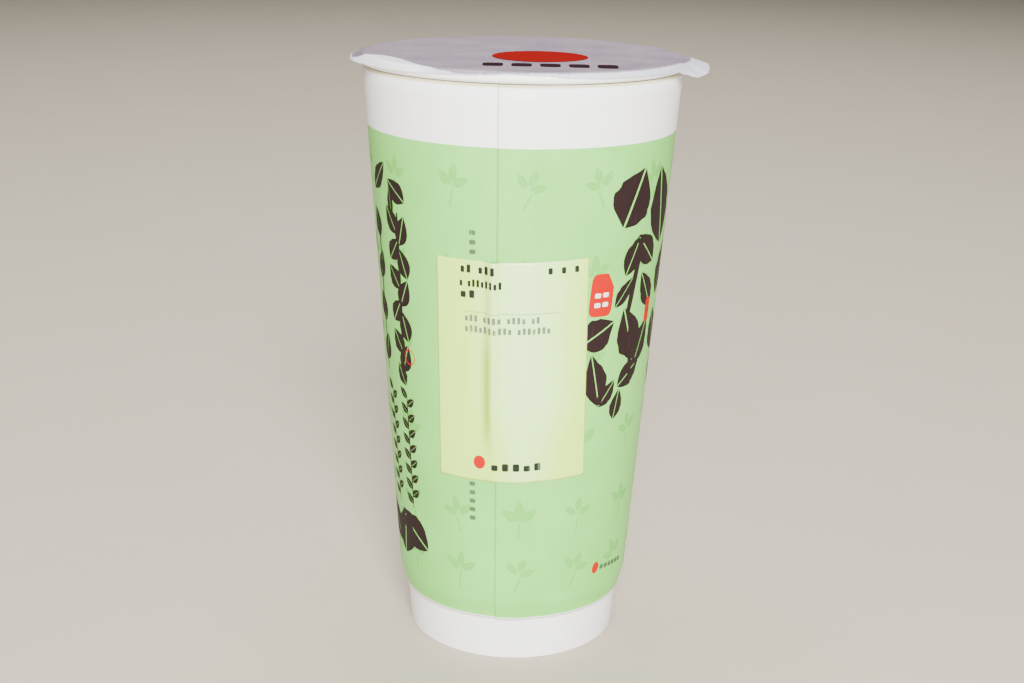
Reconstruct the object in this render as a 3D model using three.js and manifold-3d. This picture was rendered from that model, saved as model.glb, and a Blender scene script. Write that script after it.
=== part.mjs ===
// A sealed paper drinks cup, as it is handed over a counter: an inner paperboard cup with a rolled rim and a recessed
// bottom, an outer paperboard wrap that stands off it and keeps the hand cool, a plastic film heat-sealed over the rim,
// and a self-adhesive order label on the wrap.
//
// Millimetres, +Z up. The origin is the centre of the ring that the cup stands on. The label faces -Y.
// Azimuths are measured round the axis from -Y, positive towards +X.

import * as THREE from "three";
import { mergeVertices } from "three/addons/utils/BufferGeometryUtils.js";
import Module from "manifold-3d";

const wasm = await Module();
wasm.setup();

// Driving dimensions
const cupHeight = 169; // table to the top of the rolled rim
const rimRadius = 45; // outside of the rolled rim, the size a sealing machine is set to
const rollRadius = 1.6; // outside of the roll, in section
const rollEnd = 117; // where the roll's free end stops under the rim, in degrees below level
const baseRadius = 30.5; // outside of the inner wall, where its cone would meet the table
const boardThickness = 0.4; // paperboard of both walls and the bottom
const glueGap = 0.1; // air left between two pieces that are glued or pressed together
const airGap = 1.5; // insulating air between the two walls

const bottomHeight = 8.3; // top of the bottom disc
const bottomCorner = 1; // bend between the disc and its skirt
const skirtEnd = 1; // the skirt's lower edge
const foldTop = 6.4; // upper edge of the wall's fold behind the skirt
const foldCorner = 0.25; // bend of the fold at the table, along the board's middle

const wrapTop = 165.7; // the wrap's upper edge, tucked under the roll
const lipStart = 20; // where the wrap starts to curve in
const lipEnd = 13.6; // the wrap's lower edge
const lipInset = 1.03; // how far that edge is curved in from the wrap's cone
const lapWidth = 8; // overlap of each rolled blank with itself
const lapJoin = 0.05; // how deep the second layer is sunk in the first, which makes them one solid
const wrapSeam = -8; // azimuth of the wrap's visible edge, in degrees
const wallSeam = 172; // azimuth of the inner wall's seam

const upperGlue = { bottom: 155, top: 159 };
const lowerGlue = { bottom: 22, top: 26 };

// The label, with the height of its middle, its lean in degrees, and how far from the lap it starts to climb and where
// it has finished climbing
const label = {
  width: 41.6,
  height: 63.2,
  thickness: 0.12,
  azimuth: -1.9,
  middle: 88.3,
  tilt: 0.9,
  climbStart: 4,
  climbEnd: 1,
};

const filmThickness = 0.1;
const filmSlope = 40; // the overhang hangs this many degrees below level
const filmOverhang = 4.3; // length of the overhang along that slope
const tab = { azimuth: 72, halfWidth: 17, extra: 4 }; // the longer stretch of overhang that a finger pulls

const segments = 64; // facets round the cup
const steps = { roll: 11, fold: 2, bottomCorner: 3, lip: 5, filmBend: 3, labelAcross: 30, labelUp: 2 };
const mitreLimit = 0.5; // a sheet's faces are spread no further than this at a corner of its line
const weldDistance = 1e-4; // corners closer than this are one corner

const degrees = THREE.MathUtils.degToRad;

// From a board's middle to its face, and to the far face of a second board laid on it
const half = boardThickness / 2;
const nextLayer = boardThickness + half;

// The two cones, as the outer face's radius at a height
const rollMiddle = new THREE.Vector2(rimRadius - rollRadius, cupHeight - rollRadius);
const wallTopRadius = rimRadius - 2 * rollRadius + boardThickness;
const wallSlope = (wallTopRadius - baseRadius) / rollMiddle.y;
const wallRadius = (z) => baseRadius + wallSlope * z;
const wrapRadius = (z) => wallRadius(z) + airGap + boardThickness;

const point = (radius, height) => new THREE.Vector2(radius, height);

// Points along an arc of a section, both ends included, from one angle to another in degrees
function arc(centre, radius, from, to, steps) {
  return Array.from({ length: steps + 1 }, (_, i) => {
    const angle = degrees(from + ((to - from) * i) / steps);
    return point(centre.x + radius * Math.cos(angle), centre.y + radius * Math.sin(angle));
  });
}

// The closed section of a sheet that lies between two distances from a line, positive to the left of its direction
function sheetSection(line, right, left) {
  const offset = (distance) =>
    line.map((p, i) => {
      const before = p.clone().sub(line[Math.max(i - 1, 0)]).normalize();
      const after = line[Math.min(i + 1, line.length - 1)].clone().sub(p).normalize();
      const along = before.clone().add(after).normalize();
      const bend = Math.max(along.dot(i === 0 ? after : before), mitreLimit);
      return point(p.x - (along.y * distance) / bend, p.y + (along.x * distance) / bend);
    });
  return [...offset(right), ...offset(left).reverse()];
}

// A section of radius and height turned round the Z axis. One that starts on the axis also ends on it.
function turned(section) {
  const onAxis = section[0].x < weldDistance;
  const closed = onAxis ? section : [...section, section[0]];
  return new THREE.LatheGeometry(closed, segments).rotateX(Math.PI / 2);
}

function solidOf(geometry) {
  const plain = geometry.clone();
  plain.deleteAttribute("normal");
  plain.deleteAttribute("uv");
  const merged = mergeVertices(plain, weldDistance);
  return new wasm.Manifold(
    new wasm.Mesh({
      numProp: 3,
      vertProperties: merged.attributes.position.array,
      triVerts: new Uint32Array(merged.index.array),
    }),
  );
}

function geometryOf(solid) {
  const mesh = solid.getMesh();
  const geometry = new THREE.BufferGeometry();
  geometry.setAttribute("position", new THREE.BufferAttribute(mesh.vertProperties, 3));
  geometry.setIndex(new THREE.BufferAttribute(mesh.triVerts, 1));
  geometry.computeVertexNormals();
  return geometry;
}

// A solid pie slice between two azimuths, tall and wide enough to cut any shell of the cup
function slice(from, to) {
  const reach = 2 * rimRadius;
  const corner = (azimuth) => [reach * Math.sin(degrees(azimuth)), -reach * Math.cos(degrees(azimuth))];
  const outline = new THREE.Shape();
  outline.moveTo(0, 0);
  outline.lineTo(...corner(from));
  outline.lineTo(...corner(to));
  outline.closePath();
  return new THREE.ExtrudeGeometry(outline, { depth: 2 * cupHeight, bevelEnabled: false });
}

// A rolled blank: its shell, and the second layer where its two ends are lapped
function lappedShell(shell, secondLayer, seam, radius) {
  const lapAngle = THREE.MathUtils.radToDeg(lapWidth / radius);
  const lap = solidOf(secondLayer).intersect(solidOf(slice(seam, seam + lapAngle)));
  return geometryOf(solidOf(shell).add(lap));
}

// The inner wall: up from the fold behind the skirt, down and round at the table, up the cone, and over in the roll
function innerWall() {
  const middle = (z) => wallRadius(z) - half;
  const foldDepth = 2 * (boardThickness + glueGap);
  const corner = half + foldCorner;
  const line = [
    point(middle(foldTop) - foldDepth, foldTop),
    ...arc(point(middle(corner) - foldDepth + foldCorner, corner), foldCorner, 180, 270, steps.fold),
    ...arc(point(middle(corner) - foldCorner, corner), foldCorner, 270, 360, steps.fold),
    ...arc(rollMiddle, rollRadius - half, 180, -rollEnd, steps.roll),
  ];
  const shell = turned(sheetSection(line, -half, half));

  const inside = [bottomHeight + boardThickness, rollMiddle.y - rollRadius].map((z) => point(middle(z), z));
  const second = turned(sheetSection(inside, half - lapJoin, nextLayer));
  return lappedShell(shell, second, wallSeam, wallTopRadius);
}

// The bottom: a disc set up inside the wall, with its skirt turned down between the wall and the wall's fold
function cupBottom() {
  const inset = nextLayer + glueGap;
  const middle = (z) => wallRadius(z) - inset;
  const discLine = bottomHeight - half;
  const bend = discLine - bottomCorner;
  const line = [
    point(0, discLine),
    ...arc(point(middle(bend) - bottomCorner, bend), bottomCorner, 90, 0, steps.bottomCorner),
    point(middle(skirtEnd), skirtEnd),
  ];
  return turned(sheetSection(line, -half, half));
}

// The wrap's section, from its curved-in lower edge up to the roll
function wrapLine() {
  const middle = (z) => wrapRadius(z) - half;
  const turn = (lipStart + lipEnd) / 2;
  const lip = new THREE.QuadraticBezierCurve(
    point(middle(lipEnd) - lipInset, lipEnd),
    point(middle(turn), turn),
    point(middle(lipStart), lipStart),
  );
  return [...lip.getPoints(steps.lip), point(middle(wrapTop), wrapTop)];
}

function outerWrap() {
  const line = wrapLine();
  const shell = turned(sheetSection(line, -half, half));
  const second = turned(sheetSection(line, -nextLayer, lapJoin - half));
  return lappedShell(shell, second, wrapSeam, wrapRadius(cupHeight / 2));
}

// A line of glue in the air gap between the two walls
function glueLine({ bottom, top }) {
  const inner = (z) => point(wallRadius(z) + glueGap, z);
  const outer = (z) => point(wallRadius(z) + airGap - glueGap, z);
  return turned([inner(bottom), outer(bottom), outer(top), inner(top)]);
}

// A flat sheet laid on the wrap without stretching: u runs round it and v up it from the point at the given azimuth
// and height, and lift is the height above its face
function ontoWrap(u, v, lift, azimuth, height) {
  const halfAngle = Math.atan(wallSlope);
  const fromApex = wrapRadius(height) / Math.sin(halfAngle);
  const slant = Math.hypot(fromApex + v, u);
  const turn = degrees(azimuth) + Math.atan2(u, fromApex + v) / Math.sin(halfAngle);
  const radius = slant * Math.sin(halfAngle) + lift * Math.cos(halfAngle);
  const rise = height + (slant - fromApex) * Math.cos(halfAngle) - lift * Math.sin(halfAngle);
  return new THREE.Vector3(radius * Math.sin(turn), -radius * Math.cos(turn), rise);
}

// The label lies on the wrap and climbs over the lap of its seam, which runs under it
function orderLabel() {
  const { width, height, thickness, azimuth, middle, climbStart, climbEnd } = label;
  const geometry = new THREE.BoxGeometry(width, height, thickness, steps.labelAcross, steps.labelUp);
  const tilt = degrees(label.tilt);
  const seamStart = degrees(wrapSeam - azimuth) * wrapRadius(middle);
  const seamEnd = seamStart + lapWidth;
  const position = geometry.getAttribute("position");
  for (let i = 0; i < position.count; i++) {
    const [x, y, depth] = [position.getX(i), position.getY(i), position.getZ(i)];
    const u = x * Math.cos(tilt) - y * Math.sin(tilt);
    const v = x * Math.sin(tilt) + y * Math.cos(tilt);
    const up = THREE.MathUtils.smoothstep(u, seamStart - climbStart, seamStart - climbEnd);
    const down = 1 - THREE.MathUtils.smoothstep(u, seamEnd + climbEnd, seamEnd + climbStart);
    const lift = glueGap + boardThickness * Math.min(up, down) + depth + thickness / 2;
    position.setXYZ(i, ...ontoWrap(u, v, lift, azimuth, middle));
  }
  return geometry;
}

// The film: flat across the mouth, bent over the roll, then hanging outside it, longer at the tab
function sealingFilm() {
  const level = cupHeight + glueGap + filmThickness / 2;
  const bend = arc(rollMiddle, level - rollMiddle.y, 90, 90 - filmSlope, steps.filmBend);
  const shoulder = bend.at(-1);
  const fall = point(Math.cos(degrees(filmSlope)), -Math.sin(degrees(filmSlope)));
  const edge = shoulder.clone().addScaledVector(fall, filmOverhang);
  const geometry = turned(sheetSection([point(0, level), ...bend, edge], -filmThickness / 2, filmThickness / 2));

  const position = geometry.getAttribute("position");
  for (let i = 0; i < position.count; i++) {
    const [x, y, z] = [position.getX(i), position.getY(i), position.getZ(i)];
    const radius = Math.hypot(x, y);
    if (radius < (shoulder.x + edge.x) / 2) continue;
    const azimuth = THREE.MathUtils.radToDeg(Math.atan2(x, -y));
    const share = Math.max(0, 1 - Math.abs(azimuth - tab.azimuth) / tab.halfWidth);
    const extra = tab.extra * THREE.MathUtils.smoothstep(share, 0, 1);
    const grown = (radius + extra * fall.x) / radius;
    position.setXYZ(i, x * grown, y * grown, z + extra * fall.y);
  }
  return geometry;
}

const finishes = {
  whiteBoard: { color: 0xf3f2ef, roughness: 0.55 },
  printedBoard: { color: 0xb5d69c, roughness: 0.5 },
  glue: { color: 0xe9e2c4, roughness: 0.4 },
  labelPaper: { color: 0xdbe7b9, roughness: 0.45 },
  lidFilm: { color: 0xd9d8de, roughness: 0.25 },
};

function piece(name, geometry, finish) {
  const mesh = new THREE.Mesh(geometry, new THREE.MeshStandardMaterial(finish));
  mesh.name = name;
  return mesh;
}

const cup = new THREE.Group();
cup.add(
  piece("inner_cup_wall", innerWall(), finishes.whiteBoard),
  piece("cup_bottom", cupBottom(), finishes.whiteBoard),
  piece("outer_wrap", outerWrap(), finishes.printedBoard),
  piece("upper_glue_line", glueLine(upperGlue), finishes.glue),
  piece("lower_glue_line", glueLine(lowerGlue), finishes.glue),
  piece("order_label", orderLabel(), finishes.labelPaper),
  piece("sealing_film", sealingFilm(), finishes.lidFilm),
);

export default cup;
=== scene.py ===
import math
import bmesh
import bpy
from mathutils import Matrix, Vector, noise


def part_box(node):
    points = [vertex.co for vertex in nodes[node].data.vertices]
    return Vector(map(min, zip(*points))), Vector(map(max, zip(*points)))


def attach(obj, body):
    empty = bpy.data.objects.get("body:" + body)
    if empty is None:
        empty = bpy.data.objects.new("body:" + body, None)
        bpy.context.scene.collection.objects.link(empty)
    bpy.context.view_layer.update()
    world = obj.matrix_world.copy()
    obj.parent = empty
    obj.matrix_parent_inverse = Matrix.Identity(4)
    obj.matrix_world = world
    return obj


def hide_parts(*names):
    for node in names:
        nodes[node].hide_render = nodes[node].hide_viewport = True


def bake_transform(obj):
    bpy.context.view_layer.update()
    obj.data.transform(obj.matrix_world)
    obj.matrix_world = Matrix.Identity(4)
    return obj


# A sealed double-wall paper drinks cup on a plain table.
# Azimuths are in degrees round the cup's axis, from -Y and positive towards +X. Lengths are in metres.

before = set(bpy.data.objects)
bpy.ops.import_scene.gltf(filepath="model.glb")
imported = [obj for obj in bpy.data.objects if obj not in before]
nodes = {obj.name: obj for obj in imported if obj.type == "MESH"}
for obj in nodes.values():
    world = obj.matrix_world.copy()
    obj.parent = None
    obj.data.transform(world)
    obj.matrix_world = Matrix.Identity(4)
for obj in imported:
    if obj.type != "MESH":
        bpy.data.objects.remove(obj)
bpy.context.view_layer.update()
mm = 0.001


# the cup's two cones, from the frame

wallLow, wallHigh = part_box("inner_cup_wall")
wrapLow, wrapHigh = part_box("outer_wrap")
cup = {
    "height": round(wallHigh.z, 4),
    "rimRadius": round(wallHigh.x, 4),
    "rollRadius": 1.6 * mm,
    "baseRadius": 30.5 * mm,
    "board": 0.4 * mm,
    "airGap": 1.5 * mm,
    "seam": -8,           # azimuth of the wrap's visible edge
    "lap": 12,            # degrees of overlap
    "lapFall": 6,         # degrees over which the top layer comes back down
    "lapGap": 0.02 * mm,  # air under the top layer
}
weld = 0.005 * mm         # corners closer than this are one corner
rollCentre = (cup["rimRadius"] - cup["rollRadius"], cup["height"] - cup["rollRadius"])
wallTop = rollCentre[0] - cup["rollRadius"] + cup["board"]
slope = (wallTop - cup["baseRadius"]) / rollCentre[1]
halfAngle = math.atan(slope)


def wallRadius(z):
    return cup["baseRadius"] + slope * z


def wrapRadius(z):
    return wallRadius(z) + cup["airGap"] + cup["board"]


def smooth(low, high, value):
    share = min(max((value - low) / (high - low), 0), 1)
    return share * share * (3 - 2 * share)


def lapLift(azimuth):
    past = azimuth - cup["seam"]
    if past < 0:
        return 0
    return (cup["board"] + cup["lapGap"]) * (1 - smooth(cup["lap"], cup["lap"] + cup["lapFall"], past))


def polar(radius, azimuth, z):
    turn = math.radians(azimuth)
    return Vector((radius * math.sin(turn), -radius * math.cos(turn), z))


def onCone(u, v, lift, azimuth, height):
    # a flat sheet laid on the wrap without stretching it
    fromApex = wrapRadius(height) / math.sin(halfAngle)
    slant = math.hypot(fromApex + v, u)
    turn = azimuth + math.degrees(math.atan2(u, fromApex + v) / math.sin(halfAngle))
    proud = lift + lapLift(turn)
    radius = slant * math.sin(halfAngle) + proud * math.cos(halfAngle)
    z = height + (slant - fromApex) * math.cos(halfAngle) - proud * math.sin(halfAngle)
    return polar(radius, turn, z)


# making pieces

def arc(centre, radius, start, end, steps):
    angles = [math.radians(start + (end - start) * i / steps) for i in range(steps + 1)]
    return [(centre[0] + radius * math.cos(a), centre[1] + radius * math.sin(a)) for a in angles]


def spinLine(bm, points, steps=256):
    verts = [bm.verts.new((0, -radius, z)) for radius, z in points]
    edges = [bm.edges.new(pair) for pair in zip(verts, verts[1:])]
    bmesh.ops.spin(bm, geom=verts + edges, cent=(0, 0, 0), axis=(0, 0, 1), dvec=(0, 0, 0),
                   angle=math.tau, steps=steps, use_merge=True, use_duplicate=False)
    bmesh.ops.remove_doubles(bm, verts=bm.verts, dist=weld)
    bmesh.ops.recalc_face_normals(bm, faces=bm.faces)


def thicken(piece, thickness, offset, edgeSlot=0, backSlot=0):
    # a sheet becomes a solid board, with its cut edge and its back in their own finishes
    solid = piece.modifiers.new("board", "SOLIDIFY")
    solid.thickness = thickness
    solid.offset = offset
    solid.use_even_offset = True
    solid.material_offset = backSlot
    solid.material_offset_rim = edgeSlot
    graph = bpy.context.evaluated_depsgraph_get()
    mesh = bpy.data.meshes.new_from_object(piece.evaluated_get(graph))
    piece.modifiers.clear()
    piece.data = mesh
    mesh.name = piece.name


def makePiece(name, bm, materials, body="cup", stands=()):
    mesh = bpy.data.meshes.new(name)
    bm.to_mesh(mesh)
    bm.free()
    piece = bpy.data.objects.new(name, mesh)
    bpy.context.scene.collection.objects.link(piece)
    for material in materials:
        mesh.materials.append(material)
    for face in mesh.polygons:
        face.use_smooth = True
    if stands:
        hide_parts(*stands)
    if body:
        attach(piece, body)
    bpy.context.view_layer.update()
    return piece


# materials

noiseRange = (0.3, 0.7)   # the part of a noise that is stretched over the whole of a finish's range


def colour(text):
    parts = [int(text[i:i + 2], 16) / 255 for i in (1, 3, 5)]
    linear = [c / 12.92 if c <= 0.04045 else ((c + 0.055) / 1.055) ** 2.4 for c in parts]
    return (*linear, 1)


def addNode(tree, kind, settings=None, inputs=None):
    node = tree.nodes.new(kind)
    for key, value in (settings or {}).items():
        setattr(node, key, value)
    for key, value in (inputs or {}).items():
        if isinstance(value, bpy.types.NodeSocket):
            tree.links.new(value, node.inputs[key])
        else:
            node.inputs[key].default_value = value
    return node


def newMaterial(name, roughness, ior=1.5, **sockets):
    material = bpy.data.materials.new(name)
    material.use_nodes = True
    tree = material.node_tree
    tree.nodes.clear()
    shader = addNode(tree, "ShaderNodeBsdfPrincipled", inputs={"Roughness": roughness, "IOR": ior, **sockets})
    addNode(tree, "ShaderNodeOutputMaterial", inputs={"Surface": shader.outputs["BSDF"]})
    place = addNode(tree, "ShaderNodeTexCoord").outputs["Object"]
    return material, tree, shader, place


def mottle(tree, place, size, detail=3):
    # soft noise whose blotches are about size across
    return addNode(tree, "ShaderNodeTexNoise", inputs={"Vector": place, "Scale": 1 / size, "Detail": detail})


def mix(tree, factor, first, second):
    node = addNode(tree, "ShaderNodeMix", {"data_type": "RGBA"}, {"Factor": factor})
    for socket, value in ((node.inputs["A"], first), (node.inputs["B"], second)):
        if isinstance(value, bpy.types.NodeSocket):
            tree.links.new(value, socket)
        else:
            socket.default_value = value
    return node.outputs["Result"]


def ramp(tree, value, low, high, fromValue=0, toValue=1):
    return addNode(tree, "ShaderNodeMapRange", inputs={
        "Value": value, "From Min": low, "From Max": high, "To Min": fromValue, "To Max": toValue,
    }).outputs["Result"]


def bump(tree, shader, height, depth):
    node = addNode(tree, "ShaderNodeBump", inputs={"Height": height, "Distance": depth, "Strength": 1})
    tree.links.new(node.outputs["Normal"], shader.inputs["Normal"])


cupstock = {
    "white": ("#fbfaf8", "#f5f4f2"), "rawEdge": ("#ded6b8", "#d3caa8"),
    "roughness": 0.42, "rawRoughness": 0.75,
    "cloud": 9 * mm, "grain": 0.5 * mm, "relief": 0.012 * mm, "smoother": 0.05, "rougher": 0.06,
}


def coatedBoard(name, tones, roughness):
    # PE-coated cupstock: soft satin white, fine formation blotches and a faint fibre relief
    material, tree, shader, place = newMaterial(name, roughness, ior=1.5)
    cloud = mottle(tree, place, cupstock["cloud"])
    grain = mottle(tree, place, cupstock["grain"], detail=4)
    pale, deep = (colour(tone) for tone in tones)
    patches = ramp(tree, cloud.outputs["Fac"], *noiseRange)
    tree.links.new(mix(tree, patches, pale, deep), shader.inputs["Base Color"])
    tree.links.new(ramp(tree, grain.outputs["Fac"], *noiseRange, roughness - cupstock["smoother"],
                        roughness + cupstock["rougher"]), shader.inputs["Roughness"])
    bump(tree, shader, grain.outputs["Fac"], cupstock["relief"])
    return material


def printedBoard(name, look):
    # offset-printed cupstock under a satin varnish: flat green ink between a white band and a thin white
    # painted highlight along the lip, with a line of painted warm shade where the wrap is tucked under the
    # rim
    material, tree, shader, place = newMaterial(name, look["roughness"], ior=1.5,
                                                **{"Specular IOR Level": look["gloss"]})
    height = addNode(tree, "ShaderNodeSeparateXYZ", inputs={"Vector": place}).outputs["Z"]
    cloud = mottle(tree, place, look["cloud"])
    grain = mottle(tree, place, look["grain"], detail=4)
    white = colour(look["white"])
    patches = ramp(tree, cloud.outputs["Fac"], *noiseRange)
    ink = mix(tree, patches, colour(look["green"]), colour(look["greenDeep"]))
    specks = ramp(tree, grain.outputs["Fac"], *look["specks"])
    ink = mix(tree, specks, ink, colour(look["greenPale"]))
    soft = look["inkEdge"]
    band = ramp(tree, height, look["bandStart"] - soft, look["bandStart"] + soft)
    ink = mix(tree, band, ink, white)
    # painted warm shade in the last strip of the wrap, under the rolled rim
    underRimShadeStart = look["top"] - look["underRimShadeDepth"]
    underRimShade = ramp(tree, height, underRimShadeStart, underRimShadeStart + look["underRimShadeDepth"] / 2)
    ink = mix(tree, underRimShade, ink, colour(look["underRimShade"]))
    # a painted highlight along the lip's lower edge, in the white of the band
    lipHighlightTop = look["bottom"] + look["lipHighlight"]
    lipHighlight = ramp(tree, height, lipHighlightTop, lipHighlightTop - soft)
    tree.links.new(mix(tree, lipHighlight, ink, white), shader.inputs["Base Color"])
    tree.links.new(ramp(tree, grain.outputs["Fac"], *noiseRange, look["roughness"] - look["unevenness"],
                        look["roughness"] + look["unevenness"]), shader.inputs["Roughness"])
    bump(tree, shader, grain.outputs["Fac"], look["relief"])
    return material


inkFilm = {
    "roughness": 0.6, "relief": 0.004 * mm,
    "streakSize": 0.8 * mm, "streakStretch": (1, 1, 0.15), "streakRange": (0.62, 0.7),
}


def printInk(name, full, worn, streak=0.0, gloss=0.12):
    # matt printed ink: dense, with drier streaks where the streak share is above zero
    material, tree, shader, place = newMaterial(name, inkFilm["roughness"], **{"Specular IOR Level": gloss})
    stretched = addNode(tree, "ShaderNodeMapping",
                        inputs={"Vector": place, "Scale": inkFilm["streakStretch"]})
    dry = mottle(tree, stretched.outputs["Vector"], inkFilm["streakSize"], detail=5)
    share = ramp(tree, dry.outputs["Fac"], *inkFilm["streakRange"], 0, streak)
    tree.links.new(mix(tree, share, colour(full), colour(worn)), shader.inputs["Base Color"])
    bump(tree, shader, dry.outputs["Fac"], inkFilm["relief"])
    return material


print("materials")
whiteBoard = coatedBoard("whiteCoatedCupstock", cupstock["white"], cupstock["roughness"])
rawEdge = coatedBoard("cutBoardEdge", cupstock["rawEdge"], cupstock["rawRoughness"])


# inner cup wall: fold, cone and rolled rim

wall = {
    "foldTop": 6.4 * mm, "foldCorner": 0.25 * mm, "foldSteps": 4, "glueGap": 0.1 * mm, "rings": 24,
    "rollEnd": 150, "rollSteps": 30, "rollTighten": 0.012 * mm,
    "seam": 172, "seamWidth": 11, "seamBottom": 8.9 * mm, "seamLift": 0.01 * mm,
    "seamColumns": 12, "seamRows": 30,
}


def makeInnerWall():
    half = cup["board"] / 2
    bend = wall["foldCorner"]
    corner = half + bend
    middle = wallRadius(corner) - half
    depth = 2 * (cup["board"] + wall["glueGap"])
    points = [(wallRadius(wall["foldTop"]) - half - depth, wall["foldTop"])]
    points += arc((middle - depth + bend, corner), bend, 180, 270, wall["foldSteps"])
    points += arc((middle - bend, corner), bend, 270, 360, wall["foldSteps"])
    for i in range(1, wall["rings"]):
        z = corner + (rollCentre[1] - corner) * i / wall["rings"]
        points.append((wallRadius(z) - half, z))
    # the roll tightens a little as it turns, so that its free end tucks in
    for i, (radius, z) in enumerate(arc(rollCentre, 1, 180, -wall["rollEnd"], wall["rollSteps"])):
        reach = cup["rollRadius"] - half - wall["rollTighten"] * i
        points.append((rollCentre[0] + (radius - rollCentre[0]) * reach,
                       rollCentre[1] + (z - rollCentre[1]) * reach))
    bm = bmesh.new()
    spinLine(bm, points)
    # the second layer of board where the blank laps on itself
    columns, rows = wall["seamColumns"], wall["seamRows"]
    strip = bmesh.ops.create_grid(bm, x_segments=columns, y_segments=rows, size=1)["verts"]
    seamHeight = rollCentre[1] - cup["rollRadius"] - wall["seamBottom"]
    for vert in strip:
        z = wall["seamBottom"] + (vert.co.y + 1) / 2 * seamHeight
        azimuth = wall["seam"] + (1 - vert.co.x) / 2 * wall["seamWidth"]
        vert.co = polar(wallRadius(z) - half - cup["board"] - wall["seamLift"], azimuth, z)
    piece = makePiece("inner_wall", bm, [whiteBoard, rawEdge], stands=["inner_cup_wall"])
    thicken(piece, cup["board"], 0, edgeSlot=1)


print("inner wall")
makeInnerWall()


# cup bottom

bottom = {"top": 8.3 * mm, "corner": 1 * mm, "cornerSteps": 8, "skirtEnd": 1.05 * mm, "sag": 0.25 * mm,
          "rings": 10}


def makeBottom():
    half = cup["board"] / 2
    inset = 3 * half + wall["glueGap"]
    level = bottom["top"] - half
    bend = level - bottom["corner"]
    middle = wallRadius(bend) - inset
    flat = middle - bottom["corner"]
    points = []
    for i in range(bottom["rings"]):
        share = i / bottom["rings"]
        points.append((flat * share, level - bottom["sag"] * (1 - share * share)))
    points += arc((flat, bend), bottom["corner"], 90, 0, bottom["cornerSteps"])
    points.append((wallRadius(bottom["skirtEnd"]) - inset, bottom["skirtEnd"]))
    bm = bmesh.new()
    spinLine(bm, points)
    piece = makePiece("bottom_disc", bm, [whiteBoard, rawEdge], stands=["cup_bottom"])
    thicken(piece, cup["board"], 0, edgeSlot=1)


print("bottom")
makeBottom()


# outer wrap: a rolled blank lapped on itself, with its lower edge curled in

wrap = {
    "bottom": wrapLow.z, "top": wrapHigh.z + 0.15 * mm, "lipStart": 20 * mm, "lipInset": 1.03 * mm,
    "lipRings": 10, "rings": 36, "columns": 372, "wobble": 0.06 * mm, "wobbleRound": 2, "wobbleUp": 30,
    # the thin white strip above the lip's edge is a painted highlight
    "bandStart": 149.8 * mm, "inkEdge": 0.05 * mm, "lipHighlight": 0.6 * mm,
    # a painted line of warm shade at the top, under the rolled rim
    "underRimShade": "#d9cba0", "underRimShadeDepth": 0.9 * mm,
    "green": "#81d563", "greenDeep": "#7acd59", "greenPale": "#8fdc75", "white": "#fbfaf9",
    "cloud": 14 * mm, "grain": 0.6 * mm, "specks": (0.66, 0.74), "relief": 0.01 * mm,
    "roughness": 0.38, "unevenness": 0.05, "gloss": 0.25,
}
printedWrap = printedBoard("varnishedGreenPrint", wrap)


def wrapProfile(share):
    # radius and height of the outer face, from the lip's edge at 0 to the top at 1
    lipShare = wrap["lipRings"] / (wrap["lipRings"] + wrap["rings"])
    if share < lipShare:
        z = wrap["bottom"] + (wrap["lipStart"] - wrap["bottom"]) * share / lipShare
        curl = (wrap["lipStart"] - z) / (wrap["lipStart"] - wrap["bottom"])
        return wrapRadius(z) - wrap["lipInset"] * smooth(0, 1, curl), z
    z = wrap["lipStart"] + (wrap["top"] - wrap["lipStart"]) * (share - lipShare) / (1 - lipShare)
    return wrapRadius(z), z


def makeWrap():
    bm = bmesh.new()
    rows = wrap["lipRings"] + wrap["rings"]
    bmesh.ops.create_grid(bm, x_segments=wrap["columns"], y_segments=rows, size=1)
    for vert in bm.verts:
        turn = (vert.co.x + 1) / 2 * (360 + cup["lap"])
        azimuth = cup["seam"] + turn
        radius, z = wrapProfile((vert.co.y + 1) / 2)
        around = math.radians(azimuth)
        near = Vector((math.sin(around), math.cos(around), 0)) * wrap["wobbleRound"]
        near.z = z * wrap["wobbleUp"]
        dent = min(wrap["wobble"] * noise.noise(near), 0)
        vert.co = polar(radius + lapLift(azimuth) + dent, azimuth, z)
    piece = makePiece("printed_wrap", bm, [printedWrap, rawEdge, whiteBoard],
                      stands=["outer_wrap"])
    thicken(piece, cup["board"], -1, edgeSlot=1, backSlot=2)


print("wrap")
makeWrap()


# printing: flat shapes laid on the paper

# how far each layer of ink stands off the paper
inkLayers = {
    "tint": 0.015 * mm, "stems": 0.02 * mm, "ink": 0.03 * mm, "tags": 0.045 * mm, "tagBars": 0.06 * mm,
}
outlines = {
    "corners": 48, "plainCorners": 24, "squareness": 6, "tagCut": 1.35,
    # a leaf half: how it tapers, how full it is, how far its belly sits down, and how ragged its edge is
    "taper": 1.05, "fullness": 1.08, "lowBelly": 0.32, "ragged": 0.16, "raggedScale": 4, "ribHalf": 0.05,
    "onRib": 0.001, "stripWidth": 1.3 * mm, "weld": 0.002 * mm,
}


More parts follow.
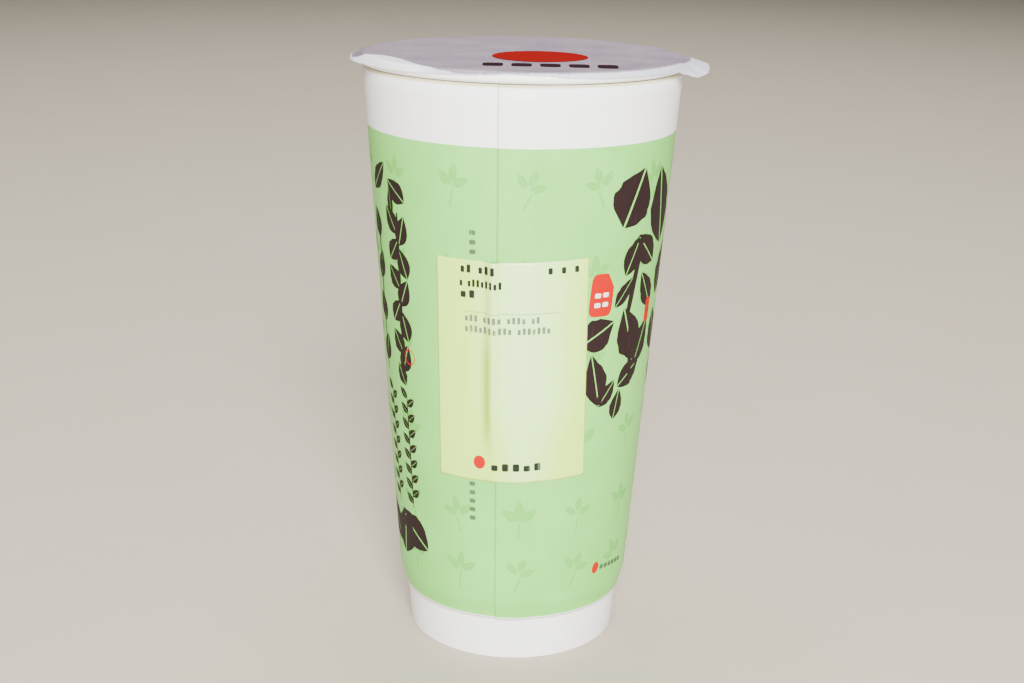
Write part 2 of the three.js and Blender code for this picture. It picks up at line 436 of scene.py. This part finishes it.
def shapeVerts(bm, kind, width, height):
    # a leaf half, a disc, a rounded bar or a bar with one corner cut, flat round the origin and long in Y
    corners = outlines["plainCorners"] if kind in ("bar", "disc") else outlines["corners"]
    verts = bmesh.ops.create_circle(bm, cap_ends=True, segments=corners, radius=1)["verts"]
    power = outlines["squareness"]
    for vert in verts:
        across, along = vert.co.x, vert.co.y
        if kind in ("bar", "tag"):
            squared = (abs(across) ** power + abs(along) ** power) ** (-1 / power)
            cornerCut = max(0, (across + along) * squared - outlines["tagCut"]) / 2 if kind == "tag" else 0
            across, along = across * squared - cornerCut, along * squared - cornerCut
        elif kind != "disc":
            # the outer half of the circle becomes the blade's edge, and the inner half lies along the rib
            side = 1 if kind == "leafRight" else -1
            full = outlines["fullness"] - outlines["lowBelly"] * along
            belly = (1 - along * along) ** outlines["taper"] * full
            near = Vector((along * outlines["raggedScale"], height / mm, side * width / mm))
            edge = belly * (1 + outlines["ragged"] * noise.noise(near))
            across = side * (outlines["ribHalf"] + (edge if side * across > outlines["onRib"] else 0))
        vert.co = Vector((across * width / 2, along * height / 2, 0))
    return verts


def cutStrips(bm, verts, stripWidth):
    # cuts a flat shape into upright strips narrow enough to bend, and gives back all its corners
    faces = list({face for vert in verts for face in vert.link_faces})
    low = min(vert.co.x for vert in verts)
    high = max(vert.co.x for vert in verts)
    cuts = int((high - low) / stripWidth)
    for i in range(cuts):
        at = low + (i + 1) * (high - low) / (cuts + 1)
        geometry = set(faces)
        for face in faces:
            geometry.update(face.edges)
            geometry.update(face.verts)
        cut = bmesh.ops.bisect_plane(bm, geom=list(geometry), plane_co=(at, 0, 0), plane_no=(1, 0, 0))
        faces = [part for part in cut["geom"] if isinstance(part, bmesh.types.BMFace)]
    return {vert for face in faces for vert in face.verts}


def layShape(bm, kind, width, height, azimuth, z, turn=0, shift=(0, 0), layer="ink"):
    # draws one shape, turns it and lays it on the wrap
    verts = shapeVerts(bm, kind, width, height)
    spun = Matrix.Rotation(math.radians(turn), 3, "Z")
    for vert in verts:
        vert.co = spun @ vert.co + Vector((*shift, 0))
    for vert in cutStrips(bm, verts, outlines["stripWidth"]):
        vert.co = onCone(vert.co.x, vert.co.y, inkLayers[layer], azimuth, z)


def layLeaf(bm, length, width, azimuth, z, turn, shift=(0, 0), layer="ink"):
    # two halves with a thin bare rib between them
    for kind in ("leafLeft", "leafRight"):
        layShape(bm, kind, width, length, azimuth, z, turn, shift, layer)


def printPiece(name, bm, material, body="cup"):
    bmesh.ops.remove_doubles(bm, verts=bm.verts, dist=outlines["weld"])
    bmesh.ops.recalc_face_normals(bm, faces=bm.faces)
    for face in bm.faces:
        middle = face.calc_center_median()
        outward = Vector((middle.x, middle.y, 0)) if body == "cup" else Vector((0, 0, 1))
        if face.normal.dot(outward) < 0:
            face.normal_flip()
    return makePiece(name, bm, [material], body)


# bold brown sprigs. Lengths are in millimetres: azimuth, height, length, width and lean of each leaf
sprigs = {
    "ink": "#26191a", "inkWorn": "#3a2927",
    "right": [
        (46.5, 135, 17, 13.5, -24), (67, 131, 23, 12, 14), (57.5, 120, 13, 7, 48), (49, 119, 12, 6, -26),
        (61, 108, 13, 6, 34), (45.5, 109, 10, 4, -40), (33.5, 98.5, 12, 8.5, -62), (51, 96.5, 17, 9, 22),
        (61, 93, 14, 7, -24), (54, 85, 12, 6, -56), (34, 85, 16, 6.5, 14), (40.5, 80.5, 9, 4.4, -38),
        (47, 76.5, 9, 4.4, -10), (77, 112, 16, 8, -16), (76, 94, 14, 8, 18), (90, 122, 18, 11, -30),
        (93, 100, 16, 9, 24), (84, 82, 12, 7, -20),
    ],
    "left": [
        (-66, 137.6, 12, 5, -46), (-53, 134.8, 9.5, 5.4, 56), (-57, 131.6, 8, 2.6, 6), (-57, 126.5, 9, 5, 34),
        (-50.5, 124, 9, 5, -18), (-56, 118.5, 8, 5, -38), (-50.5, 115, 9, 5, 22), (-57, 110.5, 8, 5, 40),
        (-51, 106.5, 9, 5, -26), (-56.5, 101, 8, 5, -34), (-51.5, 97, 9, 5, 18), (-57, 92, 8, 5, 36),
        (-52.5, 87.5, 9, 5, -20), (-56, 82.5, 7, 4, 30), (-71, 124, 9, 5, 16), (-70, 112, 9, 5, -20),
        (-71, 100, 9, 5, 18), (-70, 88, 9, 5, -18), (-55, 35, 16, 9, 56), (-63.5, 33, 15, 10, -8),
        (-76, 34, 14, 8, 30),
    ],
    "back": [
        (150, 128, 18, 11, 14), (170, 118, 18, 10, -30), (152, 106, 15, 9, 32), (172, 94, 15, 9, -24),
        (155, 84, 13, 7, 22), (168, 74, 11, 6, -14), (-154, 62, 12, 7, 30), (-139, 54, 12, 7, -30),
        (-148, 40, 11, 6, 18), (-110, 128, 16, 9, 22), (-98, 116, 16, 9, -26), (-110, 102, 14, 8, 30),
    ],
    # azimuth, middle, width, length and lean
    "stems": [
        (51.5, 113, 2.2, 22, -10), (53, 91, 1.9, 20, 8), (-53.5, 105, 1.1, 48, -1.5),
        (-70.5, 104, 0.9, 46, -1.5), (161, 102, 1.6, 58, 0), (-147, 52, 1.3, 26, 0),
        (-104, 114, 1.5, 34, 0), (88, 104, 1.6, 44, 0),
    ],
    # azimuth, top, low, leaf length and leaf width of the slender vines
    "vines": [(-53.5, 77, 42, 4.4, 2.1), (-67.5, 77, 41, 4.2, 2.0)],
    "vinePitch": 2.3, "vineStem": 0.5 * mm, "vineLean": 52, "vineReach": 1.7 * mm,
}
brownInk = printInk("brownBrushInk", sprigs["ink"], sprigs["inkWorn"], streak=0.5)


def makeSprigs():
    bm = bmesh.new()
    for side in ("right", "left", "back"):
        for azimuth, z, length, width, lean in sprigs[side]:
            layLeaf(bm, length * mm, width * mm, azimuth, z * mm, lean)
    for azimuth, z, width, length, lean in sprigs["stems"]:
        layShape(bm, "bar", width * mm, length * mm, azimuth, z * mm, lean, layer="stems")
    for azimuth, top, low, length, width in sprigs["vines"]:
        middle = (top + low) / 2 * mm
        layShape(bm, "bar", sprigs["vineStem"], (top - low) * mm, azimuth, middle, layer="stems")
        for i in range(int((top - low) / sprigs["vinePitch"])):
            side = 1 if i % 2 else -1
            z = top - i * sprigs["vinePitch"]
            shift = (side * sprigs["vineReach"], 0)
            layLeaf(bm, length * mm, width * mm, azimuth, z * mm, -side * sprigs["vineLean"], shift)
    printPiece("printed_sprigs", bm, brownInk)


tint = {
    "ink": "#6dbd4f", "inkWorn": "#78c95a",
    "columns": 13, "rows": [139, 115, 91, 67, 45, 28], "first": 2.5,
    "leaf": 5.4 * mm, "leafShape": 0.4, "smallest": 0.85, "sizeStep": 0.06, "sizes": 5,
    # lean and distance of each leaf, and what varies the lean from sprig to sprig
    "fan": [(-55, 3.0 * mm), (0, 3.6 * mm), (55, 3.0 * mm)],
    "leanByColumn": 47, "leanByRow": 31, "leanRange": 50,
    "stemWidth": 0.5 * mm, "stemLength": 5 * mm, "stemDrop": 3,
}
tintInk = printInk("paleGreenTintInk", tint["ink"], tint["inkWorn"], streak=0.8)


def makeTint():
    # faint three-leaf sprigs in a grid all round, hidden under the bolder printing
    bm = bmesh.new()
    for column in range(tint["columns"]):
        azimuth = tint["first"] + 360 / tint["columns"] * column
        azimuth -= 360 if azimuth > 180 else 0
        for row, z in enumerate(tint["rows"]):
            size = tint["leaf"] * (tint["smallest"] + tint["sizeStep"] * ((column + row) % tint["sizes"]))
            lean = (column * tint["leanByColumn"] + row * tint["leanByRow"]) % tint["leanRange"]
            lean -= tint["leanRange"] / 2
            for fan, reach in tint["fan"]:
                turn = math.radians(fan + lean)
                shift = (-math.sin(turn) * reach, math.cos(turn) * reach)
                layLeaf(bm, size, size * tint["leafShape"], azimuth, z * mm, fan + lean, shift, "tint")
            stemAt = (z - tint["stemDrop"]) * mm
            layShape(bm, "bar", tint["stemWidth"], tint["stemLength"], azimuth, stemAt, lean, layer="tint")
    printPiece("printed_tint", bm, tintInk)


tags = {
    "red": "#b80a02", "redWorn": "#c01c0e", "pale": "#f6efe4",
    # outline, width, length, azimuth, height, lean and layer, in millimetres
    "shapes": [("tag", 7.6, 12, 33.9, 109.5, -3, "tags"), ("bar", 3, 7, 64.5, 101.5, 0, "tags"),
               ("disc", 2.6, 3.6, 44, 26.4, -10, "ink")],
    "ring": {"azimuth": -49.5, "middle": 88.5 * mm, "radius": 2.1 * mm, "bars": 20,
             "size": (0.32 * mm, 0.74 * mm)},
    "bars": {"azimuth": 33.8, "middle": 109.6 * mm, "lean": -3, "size": (1.9 * mm, 1.3 * mm),
             "columns": (-1.3 * mm, 1.3 * mm), "rows": (-0.1 * mm, -2.8 * mm)},
}
redInk = printInk("redInk", tags["red"], tags["redWorn"], streak=0.4)
paleInk = printInk("paleInk", tags["pale"], tags["pale"])


def makeTags():
    # plain red tags, a ring and a dot, with no marks in them that could be read
    bm = bmesh.new()
    for kind, width, length, azimuth, z, lean, layer in tags["shapes"]:
        layShape(bm, kind, width * mm, length * mm, azimuth, z * mm, lean, layer=layer)
    ring = tags["ring"]
    for i in range(ring["bars"]):
        turn = math.tau * i / ring["bars"]
        shift = (ring["radius"] * math.cos(turn), ring["radius"] * math.sin(turn))
        layShape(bm, "bar", *ring["size"], ring["azimuth"], ring["middle"], math.degrees(turn), shift, "tags")
    printPiece("printed_tags", bm, redInk)


def makeTagBars():
    bm = bmesh.new()
    bars = tags["bars"]
    for row in bars["rows"]:
        for column in bars["columns"]:
            layShape(bm, "bar", *bars["size"], bars["azimuth"], bars["middle"], bars["lean"],
                     (column, row), "tagBars")
    printPiece("printed_tag_bars", bm, paleInk)


smallPrint = {
    "ink": "#4b6442", "worn": "#6b935a",
    # azimuth, top in millimetres, and number of blocks in each column
    "runs": [(-17.2, 127.2, 3), (-18.4, 55.4, 5)], "pitch": 2.6, "block": (1.7 * mm, 1.3 * mm),
    "line": {"blocks": 6, "size": (1.6 * mm, 1.5 * mm), "azimuth": 48.5, "step": 3.3,
             "middle": 25.9, "fall": 0.2},
}
greyInk = printInk("greyGreenSmallPrint", smallPrint["ink"], smallPrint["worn"], streak=0.7)


def makeSmallPrint():
    # small blocks stand for columns of small print
    bm = bmesh.new()
    for azimuth, top, count in smallPrint["runs"]:
        for i in range(count):
            layShape(bm, "bar", *smallPrint["block"], azimuth, (top - i * smallPrint["pitch"]) * mm)
    line = smallPrint["line"]
    for i in range(line["blocks"]):
        z = (line["middle"] - line["fall"] * i) * mm
        layShape(bm, "bar", *line["size"], line["azimuth"] + line["step"] * i, z)
    printPiece("printed_small_blocks", bm, greyInk)


print("printing")
makeTint()
makeSprigs()
makeTags()
makeTagBars()
makeSmallPrint()


# order label

label = {
    "width": 41.6 * mm, "height": 63.2 * mm, "thickness": 0.12 * mm, "azimuth": -1.9, "middle": 88.3 * mm,
    "tilt": 0.9, "columns": 110, "rows": 84, "lead": 5, "leadEnd": 0.5, "gap": 0.06 * mm,
    "blister": {"azimuth": -9.3, "width": 2.6, "low": 62 * mm, "high": 134 * mm, "fade": 18 * mm},
    "blisterHeight": 1.3 * mm,
    # painted shade down the fold beside the blister, where the paper turns away from the light
    "crease": {"azimuth": -11.8, "width": 2.1, "low": 62 * mm, "high": 104 * mm, "fade": 14 * mm},
    # the pale paper tone is a painted sheen up the middle, and the creased tone is painted shade down the
    # fold
    "paper": "#c6f45c", "paperSheen": "#ceffa4", "paperCreaseShade": "#a9d63c", "roughness": 0.3,
    # the painted sheen stripe: its middle, how far from there it starts and ends to deepen, and how cloudy
    # its edge is
    "sheenMiddle": 2.5 * mm, "sheenReach": (5 * mm, 19 * mm), "cloud": 16 * mm, "cloudShift": 6 * mm,
    # the heights between which the painted sheen narrows, and by how much
    "narrowing": (84 * mm, 58 * mm), "narrowBy": 7 * mm,
    "grain": 0.35 * mm, "relief": 0.006 * mm,
}


def swell(shape, azimuth, z):
    # a soft ridge up the label, 1 along its crest and fading at both ends
    low, high, fade = shape["low"], shape["high"], shape["fade"]
    along = smooth(low, low + fade, z) - smooth(high - fade, high, z)
    across = (azimuth - shape["azimuth"]) / shape["width"]
    return along * math.exp(-across * across)


def labelLift(azimuth, z):
    # the paper bridges the step at the wrap's edge, and stands off in a long blister beside it
    before = smooth(cup["seam"] - label["lead"], cup["seam"] - label["leadEnd"], azimuth)
    bridge = (cup["board"] + cup["lapGap"]) * before if azimuth < cup["seam"] else 0
    return bridge + label["blisterHeight"] * swell(label["blister"], azimuth, z)


def onLabel(u, v, lift):
    tilt = math.radians(label["tilt"])
    x = u * math.cos(tilt) - v * math.sin(tilt)
    y = u * math.sin(tilt) + v * math.cos(tilt)
    place = onCone(x, y, 0, label["azimuth"], label["middle"])
    azimuth = math.degrees(math.atan2(place.x, -place.y))
    proud = label["gap"] + labelLift(azimuth, place.z) + lift
    return onCone(x, y, proud, label["azimuth"], label["middle"])


def thermalPaper():
    # direct thermal label stock: faintly glossy, yellow green, with a painted sheen up the middle and painted
    # shade down its crease
    material, tree, shader, place = newMaterial("thermalLabelPaper", label["roughness"], ior=1.5)
    cloud = mottle(tree, place, label["cloud"])
    grain = mottle(tree, place, label["grain"], detail=4)
    # painted sheen: the paper is paler up the middle, with a cloudy edge, and the stripe narrows lower down
    axes = addNode(tree, "ShaderNodeSeparateXYZ", inputs={"Vector": place})
    across = addNode(tree, "ShaderNodeMath", {"operation": "SUBTRACT"},
                     {0: axes.outputs["X"], 1: label["sheenMiddle"]})
    distance = addNode(tree, "ShaderNodeMath", {"operation": "ABSOLUTE"}, {0: across.outputs["Value"]})
    uneven = addNode(tree, "ShaderNodeMath", {"operation": "MULTIPLY_ADD"},
                     {0: cloud.outputs["Fac"], 1: label["cloudShift"], 2: distance.outputs["Value"]})
    narrower = ramp(tree, axes.outputs["Z"], *label["narrowing"], 0, label["narrowBy"])
    shifted = addNode(tree, "ShaderNodeMath", {"operation": "ADD"}, {0: uneven.outputs["Value"], 1: narrower})
    tone = ramp(tree, shifted.outputs["Value"], *label["sheenReach"])
    paper = mix(tree, tone, colour(label["paperSheen"]), colour(label["paper"]))
    # painted shade down the crease, read from the label's mesh
    crease = addNode(tree, "ShaderNodeAttribute", {"attribute_name": "paintedCreaseShade"}).outputs["Fac"]
    tree.links.new(mix(tree, crease, paper, colour(label["paperCreaseShade"])), shader.inputs["Base Color"])
    bump(tree, shader, grain.outputs["Fac"], label["relief"])
    return material


def makeLabel():
    bm = bmesh.new()
    bmesh.ops.create_grid(bm, x_segments=label["columns"], y_segments=label["rows"], size=0.5)
    tone = bm.verts.layers.float.new("paintedCreaseShade")
    for vert in bm.verts:
        vert.co = onLabel(vert.co.x * label["width"], vert.co.y * label["height"], label["thickness"])
        azimuth = math.degrees(math.atan2(vert.co.x, -vert.co.y))
        # how much painted shade darkens the paper here, down the crease
        vert[tone] = swell(label["crease"], azimuth, vert.co.z)
    piece = makePiece("paper_label", bm, [thermalPaper(), rawEdge], stands=["order_label"])
    thicken(piece, label["thickness"], -1, edgeSlot=1)


labelPrint = {
    "ink": "#22281c", "inkFaint": "#66745c", "lift": 0.03 * mm, "stripWidth": 0.5 * mm,
    # rows of bars, in millimetres: left, top, letter width, letter height and the length of each word
    "dark": [(6.8, 1.2, 1.7, 2.3, (2, 3)), (30, 1.2, 1.9, 2.3, (1, 1, 1)), (6.6, 5.2, 1.2, 2.1, (1, 8)),
             (6.6, 8.2, 2.4, 2.2, (2,)), (14.8, 57.4, 2.9, 2.3, (5,))],
    "faint": [(8, 15, 1.3, 1.9, (3, 4, 4, 2)), (8, 18, 1.3, 1.9, (10, 7))],
    "inkShare": 0.62, "shortShare": 0.78, "shortEvery": 3, "wordSpace": 0.9,
    # width, height, and place from the top left corner
    "line": (26 * mm, 0.14 * mm, 21 * mm, 14.2 * mm), "disc": (3.3 * mm, 4 * mm, 12 * mm, 57.6 * mm),
}


def labelShape(bm, kind, width, height, u, v):
    # as layShape, but on the label's own face, with u and v from its top left corner
    verts = shapeVerts(bm, kind, width, height)
    for vert in cutStrips(bm, verts, labelPrint["stripWidth"]):
        across = vert.co.x + u - label["width"] / 2
        up = vert.co.y + label["height"] / 2 - v
        vert.co = onLabel(across, up, label["thickness"] + labelPrint["lift"])


def layRows(bm, rows):
    for left, top, width, height, words in rows:
        at = left
        for length in words:
            for i in range(length):
                tall = height if i % labelPrint["shortEvery"] else height * labelPrint["shortShare"]
                labelShape(bm, "bar", width * labelPrint["inkShare"] * mm, tall * mm, (at + width / 2) * mm,
                           (top + height - tall / 2) * mm)
                at += width
            at += width * labelPrint["wordSpace"]


def makeLabelPrint():
    faint = bmesh.new()
    layRows(faint, labelPrint["faint"])
    labelShape(faint, "bar", *labelPrint["line"])
    dark = bmesh.new()
    layRows(dark, labelPrint["dark"])
    red = bmesh.new()
    labelShape(red, "disc", *labelPrint["disc"])
    faintInk = printInk("faintThermalPrint", labelPrint["inkFaint"], label["paper"], streak=0.6)
    darkInk = printInk("thermalPrint", labelPrint["ink"], labelPrint["inkFaint"], streak=0.6)
    printPiece("label_print_faint", faint, faintInk)
    printPiece("label_print_dark", dark, darkInk)
    printPiece("label_print_red", red, redInk)


print("label")
makeLabel()
makeLabelPrint()


# sealing film

film = {
    "thickness": 0.1 * mm, "gap": 0.06 * mm, "flatRings": 26, "edgeRings": 22, "steps": 360,
    # azimuth, degrees for which it hugs the roll, length past the rim's crest, inward reach of the white seal
    # and, on the left front, of the painted light
    "edge": [
        (-180, 34, 3.2, -2.4), (-130, 26, 3.9, -3.2), (-112, 20, 4.9, -4.2), (-98, 20, 5.3, -4.8),
        (-88, 28, 4.9, -4.2), (-82, 36, 4.3, -2.9), (-77, 44, 3.9, -1.7), (-73, 50, 3.6, 0.4),
        (-69.5, 58, 3.2, 3.4), (-64, 62, 3.0, 4.6), (-56, 66, 2.8, 5.0), (-48, 68, 2.7, 3.6),
        (-42, 68, 2.6, 1.8), (-35, 66, 2.5, -0.1), (-28, 66, 2.3, -1.2), (-20, 62, 2.1, -1.9),
        (-12, 56, 1.8, -1.6), (-4, 50, 1.4, -1.1), (6, 56, 1.6, -1.0), (16, 74, 2.3, -1.0),
        (30, 84, 2.6, -1.0), (46, 82, 2.7, -1.0), (57, 72, 2.9, -0.9), (64, 60, 3.2, -0.9),
        (69, 50, 4.5, -1.0), (75, 39, 7.0, -1.5), (83, 26, 8.3, -2.2), (93, 18, 8.2, -3.0),
        (102, 20, 5.8, -3.4), (110, 26, 3.9, -3.0), (130, 32, 3.3, -2.4), (180, 34, 3.2, -2.4),
    ],
    # slow waves in the flat part: height, scale, the spreads where they start and end, and the lowest they go
    "ripple": 0.10 * mm, "rippleScale": 45, "rippleStart": (0.1, 0.6), "rippleEnd": (0.9, 1),
    "lowest": -0.04 * mm, "level": 0.02 * mm,
    # flutter of the hanging edge, once it is free of the roll
    "flutter": 0.22 * mm, "flutterWaves": 9, "flutterStart": 3 * mm,
    "curl": (0.5 * mm, 10 * mm),
    "haze": "#8f828d", "hazeDeep": "#7a6b7a", "edgeTint": "#c3c4d0", "sealed": "#e9e9ef",
    "cloud": 12 * mm, "grain": 1.1 * mm, "relief": 0.02 * mm,
    # the palest white is painted light on the left front, between these azimuths
    "sealGrain": 0.9, "sealEdge": (0.3, 0.6), "litPatchStart": (-90, -78), "litPatchEnd": (-40, -28),
    "roughness": 0.36, "smoother": 0.06, "rougher": 0.1, "gloss": 0.3,
}


def edgeAt(azimuth):
    rows = film["edge"]
    for before, after in zip(rows, rows[1:]):
        if before[0] <= azimuth <= after[0]:
            share = smooth(before[0], after[0], azimuth)
            return [a + (b - a) * share for a, b in zip(before[1:], after[1:])]
    return list(rows[0][1:])


def filmPoint(spread, azimuth):
    # spread is the distance from the middle along the film: 1 at the rim's crest and 2 at the film's edge
    hug, length, _ = edgeAt(azimuth)
    level = cup["height"] + film["gap"]
    if spread <= 1:
        radius = rollCentre[0] * spread
        turn = math.radians(azimuth)
        near = Vector((radius * math.sin(turn), radius * math.cos(turn), 0)) * film["rippleScale"]
        share = smooth(*film["rippleStart"], spread) * (1 - smooth(*film["rippleEnd"], spread))
        wave = film["ripple"] * noise.noise(near) * share
        return polar(radius, azimuth, level + max(wave, film["lowest"]) + film["level"])
    bend = level - rollCentre[1]
    run = (spread - 1) * length * mm
    held = min(run / bend, math.radians(hug))
    free = run - held * bend
    flap = math.sin(math.radians(azimuth * film["flutterWaves"]))
    flutter = film["flutter"] * flap * smooth(0, film["flutterStart"], free)
    radius = rollCentre[0] + bend * math.sin(held) + free * math.cos(held) + flutter * math.sin(held)
    z = rollCentre[1] + bend * math.cos(held) - free * math.sin(held) + flutter * math.cos(held)
    return polar(radius, azimuth, z)


def lidFilm():
    # milky PP lidding film: hazy grey over the mouth, whiter where it is welded to the white rim, with
    # painted light over the sloping left front
    material, tree, shader, place = newMaterial("milkyLiddingFilm", film["roughness"], ior=1.49,
                                                **{"Specular IOR Level": film["gloss"]})
    seal = addNode(tree, "ShaderNodeAttribute", {"attribute_name": "sealReach"}).outputs["Fac"]
    # painted light: a whiter patch on the left front, where the film slopes down
    patch = addNode(tree, "ShaderNodeAttribute", {"attribute_name": "paintedLightPatch"}).outputs["Fac"]
    cloud = mottle(tree, place, film["cloud"])
    grain = mottle(tree, place, film["grain"], detail=4).outputs["Fac"]
    ragged = addNode(tree, "ShaderNodeMath", {"operation": "MULTIPLY_ADD"},
                     {0: grain, 1: film["sealGrain"], 2: seal}).outputs["Value"]
    patches = ramp(tree, cloud.outputs["Fac"], *noiseRange)
    haze = mix(tree, patches, colour(film["haze"]), colour(film["hazeDeep"]))
    outer = mix(tree, patch, colour(film["edgeTint"]), colour(film["sealed"]))
    tree.links.new(mix(tree, ramp(tree, ragged, *film["sealEdge"]), haze, outer), shader.inputs["Base Color"])
    tree.links.new(ramp(tree, grain, *noiseRange, film["roughness"] - film["smoother"],
                        film["roughness"] + film["rougher"]), shader.inputs["Roughness"])
    bump(tree, shader, grain, film["relief"])
    return material


def makeFilm():
    bm = bmesh.new()
    spreads = [i / film["flatRings"] for i in range(film["flatRings"])]
    spreads += [1 + i / film["edgeRings"] for i in range(film["edgeRings"] + 1)]
    spinLine(bm, [(spread, 0) for spread in spreads], film["steps"])
    reach = bm.verts.layers.float.new("sealReach")
    white = bm.verts.layers.float.new("paintedLightPatch")
    for vert in bm.verts:
        spread = math.hypot(vert.co.x, vert.co.y)
        azimuth = math.degrees(math.atan2(vert.co.x, -vert.co.y))
        _, length, inward = edgeAt(azimuth)
        # millimetres outside the inner edge of the white seal and, on the left front, of the painted light
        outward = rollCentre[0] / mm if spread <= 1 else length
        vert[reach] = (spread - 1) * outward + inward
        # painted light on the left front
        vert[white] = smooth(*film["litPatchStart"], azimuth) * (1 - smooth(*film["litPatchEnd"], azimuth))
        vert.co = filmPoint(spread, azimuth)
    bmesh.ops.recalc_face_normals(bm, faces=bm.faces)
    piece = makePiece("lid_film", bm, [lidFilm()], body=None, stands=["sealing_film"])
    thicken(piece, film["thickness"], 1)
    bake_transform(piece)


filmPrint = {
    "lift": 0.15 * mm, "discAt": (4.5 * mm, -10 * mm), "discSize": 26 * mm,
    "red": "#7c1413", "redWorn": "#851a18",
    "barsAt": (7 * mm, -29.8 * mm), "bars": 5, "barPitch": 7.4 * mm, "barShare": 0.72, "barWidth": 7 * mm,
    "ink": "#2a1b20", "inkWorn": "#352429",
}


def makeFilmPrint():
    # a plain red disc and a row of plain bars, seen very flat
    top = cup["height"] + film["gap"] + film["thickness"] + filmPrint["lift"]
    redFilmInk = printInk("filmRedInk", filmPrint["red"], filmPrint["redWorn"], gloss=0)
    darkFilmInk = printInk("filmBrownInk", filmPrint["ink"], filmPrint["inkWorn"], gloss=0)
    disc = bmesh.new()
    for vert in shapeVerts(disc, "disc", filmPrint["discSize"], filmPrint["discSize"]):
        vert.co += Vector((*filmPrint["discAt"], top))
    printPiece("film_print_disc", disc, redFilmInk, "film")
    bars = bmesh.new()
    barLength = filmPrint["barPitch"] * filmPrint["barShare"]
    for i in range(filmPrint["bars"]):
        offset = (i - (filmPrint["bars"] - 1) / 2) * filmPrint["barPitch"]
        for vert in shapeVerts(bars, "bar", barLength, filmPrint["barWidth"]):
            vert.co += Vector((filmPrint["barsAt"][0] + offset, filmPrint["barsAt"][1], top))
    printPiece("film_print_bars", bars, darkFilmInk, "film")


print("film")
makeFilm()
makeFilmPrint()


# glue lines, hidden between the walls

glueLook = {"pale": "#efe8cc", "deep": "#e0d6b0", "cloud": 3 * mm, "relief": 0.05 * mm, "roughness": 0.35}


def hotMelt():
    # hot-melt adhesive: waxy and yellowish
    material, tree, shader, place = newMaterial("hotMeltGlue", glueLook["roughness"], ior=1.48)
    cloud = mottle(tree, place, glueLook["cloud"]).outputs["Fac"]
    tone = mix(tree, cloud, colour(glueLook["pale"]), colour(glueLook["deep"]))
    tree.links.new(tone, shader.inputs["Base Color"])
    bump(tree, shader, cloud, glueLook["relief"])
    return material


print("glue")
glue = hotMelt()
for name in ("upper_glue_line", "lower_glue_line"):
    nodes[name].data.materials.clear()
    nodes[name].data.materials.append(glue)


# table, light and camera

stage = {
    "floor": "#beb29e", "floorDeep": "#b8ac98", "floorCloud": 60 * mm, "floorRoughness": 0.7,
    "floorSize": 3, "floorCells": 4, "world": "#f2f3f5", "worldStrength": 0.2,
}
lights = [
    # name, place, aim, size, power
    ("frontSoft", (0.12, -1.2, 0.9), (0, 0, 0.08), 0.5, 56),
    ("frontLow", (0.06, -1.2, 0.16), (0, 0, 0.09), 0.3, 16),
    ("leftSoft", (-1.1, -0.5, 0.8), (0, 0, 0.08), 0.9, 1),
    ("topSoft", (0.0, 0.3, 1.5), (0, 0, 0), 1.0, 17),
    ("backSoft", (0.0, 1.3, 1.5), (0, 0.9, 0), 1.6, 20),
]
# lens and sensor in millimetres
camera = {"lens": 54.0773, "sensor": 36, "nearest": 10 * mm, "distance": 0.4277, "height": 0.2161,
          "pitch": 16.916, "yaw": -0.196, "roll": 1.209}


def makeFloor():
    # a plain matt table top, a little cloudy
    material, tree, shader, place = newMaterial("paleTable", stage["floorRoughness"])
    cloud = mottle(tree, place, stage["floorCloud"])
    tree.links.new(mix(tree, cloud.outputs["Fac"], colour(stage["floor"]), colour(stage["floorDeep"])),
                   shader.inputs["Base Color"])
    bm = bmesh.new()
    cells = stage["floorCells"]
    bmesh.ops.create_grid(bm, x_segments=cells, y_segments=cells, size=stage["floorSize"])
    mesh = bpy.data.meshes.new("table")
    bm.to_mesh(mesh)
    bm.free()
    floor = bpy.data.objects.new("table", mesh)
    mesh.materials.append(material)
    bpy.context.scene.collection.objects.link(floor)


def makeLights():
    for name, place, aim, size, power in lights:
        data = bpy.data.lights.new(name, "AREA")
        data.shape = "DISK"
        data.size = size
        data.energy = power
        lamp = bpy.data.objects.new(name, data)
        lamp.location = place
        lamp.rotation_euler = (Vector(aim) - Vector(place)).to_track_quat("-Z", "Y").to_euler()
        bpy.context.scene.collection.objects.link(lamp)
    world = bpy.data.worlds.new("softRoom")
    world.use_nodes = True
    back = world.node_tree.nodes["Background"]
    back.inputs["Color"].default_value = colour(stage["world"])
    back.inputs["Strength"].default_value = stage["worldStrength"]
    bpy.context.scene.world = world


def makeCamera():
    pitch, yaw, roll = (math.radians(camera[key]) for key in ("pitch", "yaw", "roll"))
    ahead = Vector((math.sin(yaw) * math.cos(pitch), math.cos(yaw) * math.cos(pitch), -math.sin(pitch)))
    level = ahead.cross(Vector((0, 0, 1))).normalized()
    upright = level.cross(ahead)
    right = level * math.cos(roll) + upright * math.sin(roll)
    up = upright * math.cos(roll) - level * math.sin(roll)
    data = bpy.data.cameras.new("camera")
    data.sensor_width = camera["sensor"]
    data.lens = camera["lens"]
    data.clip_start = camera["nearest"]
    eye = bpy.data.objects.new("camera", data)
    turned = Matrix((right, up, -ahead)).transposed().to_4x4()
    eye.matrix_world = Matrix.Translation((0, -camera["distance"], camera["height"])) @ turned
    bpy.context.scene.collection.objects.link(eye)
    bpy.context.scene.camera = eye


print("stage")
makeFloor()
makeLights()
makeCamera()
